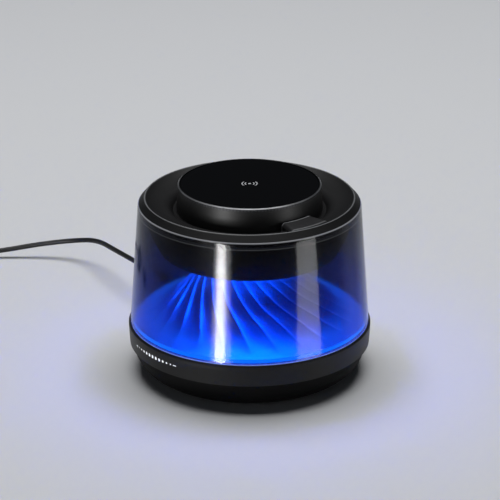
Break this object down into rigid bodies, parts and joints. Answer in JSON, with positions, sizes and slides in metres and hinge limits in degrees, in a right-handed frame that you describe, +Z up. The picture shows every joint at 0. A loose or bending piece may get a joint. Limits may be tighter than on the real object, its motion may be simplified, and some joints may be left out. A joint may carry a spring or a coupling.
{
  "type": "wireless charging pad",
  "caption": "Round wireless charging pad on a drum-shaped lamp base with a clear conical cover, a fluted glowing reflector, a touch slider band and a thin power lead.",
  "frame": {"origin": "centre of the base, on the surface it stands on, cord left out", "axes": "+Z up through the charging plate, -Y towards the front, the cord leaves at the back left"},
  "size_m": [0.3264, 0.2727, 0.1296],
  "materials": {
    "gloss_black": "gloss",
    "satin_black": "satin moulded",
    "bezel_metal": "satin black, polished chamfer",
    "clear_plastic": "polished clear",
    "reflector_white": "satin white",
    "diffuser": "frosted, lit",
    "window": "frosted, lit",
    "mark_grey": "printed",
    "rubber": "matt",
    "cable": "satin",
    "tie_strap": "hook and loop",
    "seal": "translucent",
    "board": "solder mask",
    "chip": "matt",
    "led": "gloss",
    "steel": "zinc plated",
    "ferrite": "sintered",
    "copper": "enamelled wire",
    "inner_plastic": "moulded"
  },
  "bodies": {
    "base": {"foot_ring": "rubber", "bottom_bowl": "satin_black", "base_screws": "steel", "base_tray": "inner_plastic", "base_band": "satin_black", "slider_light_guide": "window", "slider_board": "board", "slider_leds": "led", "shell_gasket": "seal", "clear_shell": "clear_plastic", "reflector": "reflector_white", "centre_column": "inner_plastic", "column_screws": "steel", "light_diffuser": "diffuser", "light_ring_board": "board", "light_leds": "led", "upper_housing": "satin_black", "housing_screws": "steel", "deck_ring": "satin_black", "key_board": "board", "key_switch": "chip", "key_return_pad": "rubber", "pad_drum": "satin_black", "bezel_ring": "bezel_metal", "charging_plate": "gloss_black", "plate_mark": "mark_grey", "charging_coil": "copper", "ferrite_shield": "ferrite", "coil_carrier": "inner_plastic", "charger_board": "board", "charger_chips": "chip", "charger_screws": "steel", "main_board": "board", "main_board_chips": "chip", "board_screws": "steel", "power_harness": "cable", "usb_socket": "steel", "socket_board": "board", "cord_plug": "cable", "plug_shell": "steel", "plug_relief": "cable", "cord": "cable", "cord_tail": "cable", "cord_coil": "cable", "cord_tie": "tie_strap", "usb_plug": "cable", "usb_shell": "steel", "usb_relief": "cable"},
    "key": {"deck_key": "satin_black"}
  },
  "joints": [
    {"name": "deck_key_press", "type": "slide", "parent": "base", "child": "key", "axis": [0, 0, -1], "range_m": [0, 0.0008], "stiffness_N_per_m": 1800, "deforming": ["key_return_pad"]}
  ]
}
